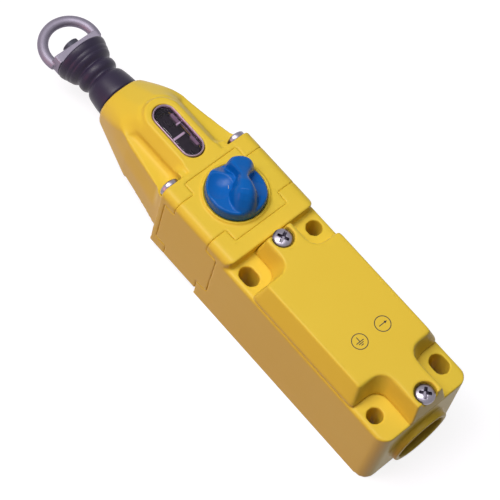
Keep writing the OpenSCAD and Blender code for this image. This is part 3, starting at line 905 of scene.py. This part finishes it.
# %% [markdown]
# ## Marks on the cover
#
# Two plain signs are printed on the cover: an arrow in a ring, and the sign for an earth
# point in a ring. A painted texture would blur and need unwrapping, so the ink is built:
# each stroke is a plate that stands three hundredths of a millimetre proud of the paint. A
# sign is read with its top towards the eye.

# %% Strokes of a sign
STROKE = 0.28
RING_STEPS = 40


def bar(x0, y0, x1, y1):
    """A straight stroke between two points, with square ends."""
    along = Vector((x1 - x0, y1 - y0)).normalized() * STROKE / 2
    side = Vector((-along.y, along.x))
    start, end = Vector((x0, y0)), Vector((x1, y1))
    return [start + side, start - side, end - side, end + side]


def ring(radius):
    """A ring as short four-sided strokes."""
    strokes = []
    for step in range(RING_STEPS):
        a, b = (2 * math.pi * (step + extra) / RING_STEPS for extra in (0, 1))
        strokes.append([((radius + r) * math.cos(t), (radius + r) * math.sin(t))
                        for t, r in ((a, 0), (b, 0), (b, STROKE), (a, STROKE))])
    return strokes


print("strokes are", STROKE, "mm wide")

# %% Print the two signs
COVER_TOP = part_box("base_cover")[1].z
INK_HEIGHT = 0.03 * MM
SIGN_R = 2.5
SIGN_X = sum(corner.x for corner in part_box("base_cover")) / 2 / MM - 8.3
SIGN_Y = 4.9
ARROW = [bar(-1.5, 0, 1.0, 0), [(1.8, 0), (0.8, 0.5), (0.8, -0.5)]]
EARTH = [bar(0, 1.7, 0, 0), bar(-1.5, -0.1, 1.5, -0.1), bar(-1.0, -0.7, 1.0, -0.7),
         bar(-0.5, -1.3, 0.5, -1.3)]


def printed(name, centre, strokes):
    """Thin plates on the cover. Strokes are in millimetres, first to the right, then up."""
    mesh = bmesh.new()
    for stroke in strokes:
        skin_row(mesh, [[mesh.verts.new(((centre[0] + up) * MM, (centre[1] - across) * MM, z))
                         for across, up in stroke]
                        for z in (COVER_TOP - INK_HEIGHT, COVER_TOP + INK_HEIGHT)])
    dress(hung(mesh, name), "housing", ink)


printed("arrow_sign", (SIGN_X, -SIGN_Y), ring(SIGN_R) + ARROW)
printed("earth_sign", (SIGN_X, SIGN_Y), ring(SIGN_R) + EARTH)
print("signs printed at", round(COVER_TOP / MM, 2), "mm")

# %% [markdown]
# ## Screws
#
# Two cover screws go in from the front, and four long screws hold the casing together. Each
# head is a low dome with a cross recess whose walls slope inward. Drawing the recess face by
# face is slow and easy to get wrong. So the head is turned like the boot, and a tapered cross
# is cut out of it with a boolean, the way a punch forms the real one.

# %% Shape the punch
PUNCH_CLEARS = 0.2 * MM
PUNCH_TIP = (0.55, 0.16)
PUNCH_MOUTH = (1.05, 0.27)


def cross_punch(reach, depth, top):
    """A tapered cross that cuts the recess, along +Z with its top at the given height."""
    mesh = bmesh.new()
    loops = []
    for z, (long, wide) in ((top - depth, PUNCH_TIP), (top + PUNCH_CLEARS, PUNCH_MOUTH)):
        arm, half = long * reach, wide * reach
        loops.append([
            mesh.verts.new(Matrix.Rotation(turn * math.pi / 2, 3, "Z") @ Vector((x, y, z)))
            for turn in range(4) for x, y in ((arm, -half), (arm, half), (half, half))])
    skin_row(mesh, loops)
    return hung(mesh, "punch")


print("punch tapers from", PUNCH_MOUTH, "to", PUNCH_TIP, "of its reach")

# %% A screw's profile
DOME_STEPS, DOME_STEP = 6, 13
DOME_FOOT, DOME_SWELLS = 0.45, 1.02
HEAD_EDGE, HEAD_UNDERSIDE = 0.25, 0.97
POINT_LENGTH, POINT_R = 0.4, 0.6


def screw_profile(head_r, head_h, shank_r, length):
    """(radius, height) points from the top of the head to the tip, with the seat at 0."""
    dome = [(0, head_h)]
    for step in range(1, DOME_STEPS + 1):
        angle = math.radians(90 - DOME_STEP * step)
        dome.append((head_r * math.cos(angle) * DOME_SWELLS,
                     head_h * (DOME_FOOT + (1 - DOME_FOOT) * math.sin(angle))))
    return dome + [
        (head_r, head_h * HEAD_EDGE), (head_r * HEAD_UNDERSIDE, 0), (shank_r, 0),
        (shank_r, -length + shank_r * POINT_LENGTH), (shank_r * POINT_R, -length), (0, -length)]


print("a head's dome ends", 90 - DOME_STEPS * DOME_STEP, "degrees above its seat")

# %% Turn a screw and punch it
PUNCH_REACH, PUNCH_DEPTH = 0.64, 0.9
RECESS_BEVEL = 0.06 * MM
BROKEN_EDGE = math.radians(40)


def screw(name, head_r, head_h, shank_r, length, place, turn, sides=48):
    """A cross-recessed pan head screw. place maps its +Z, out of the head, into the switch."""
    profile = screw_profile(head_r, head_h, shank_r, length)
    mesh = bmesh.new()
    tip, foot = (mesh.verts.new((0, 0, end[1])) for end in (profile[0], profile[-1]))
    angles = [2 * math.pi * step / sides for step in range(sides)]
    skin_between_tips(mesh, tip, [
        [mesh.verts.new((r * math.cos(angle), r * math.sin(angle), z)) for angle in angles]
        for r, z in profile[1:-1]], foot)
    piece = hung(mesh, name)
    punch = cross_punch(head_r * PUNCH_REACH, head_h * PUNCH_DEPTH, head_h)
    modify(piece, "BOOLEAN", operation="DIFFERENCE", object=punch, solver="EXACT")
    modify(piece, "BEVEL", width=RECESS_BEVEL, segments=2, limit_method="ANGLE",
           angle_limit=BROKEN_EDGE)
    bake_modifiers(piece)
    bpy.data.objects.remove(punch)
    piece.data.transform(place @ Matrix.Rotation(turn, 4, "Z"))
    modify(piece, "WEIGHTED_NORMAL", keep_sharp=False)
    return piece


print("a punch reaches", PUNCH_REACH, "of a head's radius and", PUNCH_DEPTH, "of its height")

# %% Find each screw's place
def solids(node):
    """The separate solids of a node, each as its lowest and highest corner."""
    mesh = bmesh.new()
    mesh.from_mesh(nodes[node].data)
    bmesh.ops.remove_doubles(mesh, verts=mesh.verts, dist=SAME_SPOT)
    found, seen = [], set()
    for start in mesh.verts:
        if start in seen:
            continue
        group, queue = [], [start]
        seen.add(start)
        while queue:
            vert = queue.pop()
            group.append(vert.co.copy())
            for edge in vert.link_edges:
                other = edge.other_vert(vert)
                if other not in seen:
                    seen.add(other)
                    queue.append(other)
        found.append([Vector(map(pick, zip(*group))) for pick in (min, max)])
    mesh.free()
    return found


cover_screws, body_screws = solids("cover_screws"), solids("body_screws")
print("screws to set:", len(cover_screws) + len(body_screws))

# %% Set the screws
HEAD_H = 2.4 * MM
SHANK_R = 1.9 * MM
COVER_TURN, COVER_TURN_STEP, LONG_TURN_STEP = 25, 18, 35


def set_screw(node, number, head_r, length, place, turn):
    """Puts a screw in the place of one solid of a node."""
    piece = screw(f"{node[:-1]}_{number + 1}", head_r, HEAD_H, SHANK_R, length, place,
                  math.radians(turn))
    dress(piece, "housing", plating)
    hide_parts(node)


for number, (low, high) in enumerate(cover_screws):
    seat = Matrix.Translation(((low.x + high.x) / 2, (low.y + high.y) / 2, high.z - HEAD_H))
    set_screw("cover_screws", number, (high.x - low.x) / 2, high.z - HEAD_H - low.z, seat,
              COVER_TURN + COVER_TURN_STEP * number)
for number, (low, high) in enumerate(body_screws):
    seat = (Matrix.Translation((high.x - HEAD_H, (low.y + high.y) / 2, (low.z + high.z) / 2))
            @ Matrix.Rotation(math.pi / 2, 4, "Y"))
    set_screw("body_screws", number, (high.z - low.z) / 2, high.x - HEAD_H - low.x, seat,
              LONG_TURN_STEP * number)
print("long screws are", round((body_screws[0][1].x - body_screws[0][0].x) / MM, 1), "mm long")

# %% [markdown]
# ## The pieces inside
#
# What sits inside, from the shaft and its bushes to the contacts, is turned, stamped or
# moulded to plain shapes. It keeps its construction solid, because a new mesh would show
# nothing more. A narrow bevel breaks the sharp edges, as a maker's file or tumbler would, and
# each piece gets its own finish.

# %% Finish the inner pieces
EDGE_BEVEL = 0.1 * MM

inner_pieces = [
    (dark_steel, ["pull_shaft"]),
    (steel, ["spring_seat", "spring_collar", "collar_pin", "lock_rings", "boot_washer",
             "knob_spindle", "reset_cam", "latch_slide", "latch_dog", "earth_clamp"]),
    (bronze, ["shaft_bush", "inner_bush"]),
    (seal_rubber, ["cover_gasket", "joint_gaskets", "window_seal", "shaft_seal", "knob_seal"]),
    (black_plastic, ["contact_block", "indicator_slide"]),
    (ivory_plastic, ["contact_carrier"]),
    (brass, ["contact_bridges", "fixed_contacts"]),
    (plating, ["block_screws", "terminal_screws"]),
    (green_plating, ["earth_screw"]),
    (white_print, ["indicator_line"])]

for material, names in inner_pieces:
    for name in names:
        piece = nodes[name]
        piece.data.materials.clear()
        piece.data.materials.append(material)
        modify(piece, "WELD", merge_threshold=SAME_SPOT)
        modify(piece, "BEVEL", width=EDGE_BEVEL, segments=2, limit_method="ANGLE",
               angle_limit=BROKEN_EDGE)
print("inner pieces finished:", sum(len(names) for _, names in inner_pieces))

# %% [markdown]
# ## The main spring
#
# The spring's front end rests on its seat in the housing, and its back end is pushed by the
# shaft's collar. A rigid coil would cut into the collar when the rope is pulled. The coil here
# is a piece of its own, copied from its solid, and it does not shorten between those two ends.
# It has no bevel, because drawn wire is round.

coil = twin("main_spring", "main_spring_coil")
coil.data.materials.clear()
coil.data.materials.append(spring_steel)
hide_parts("main_spring")
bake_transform(coil)
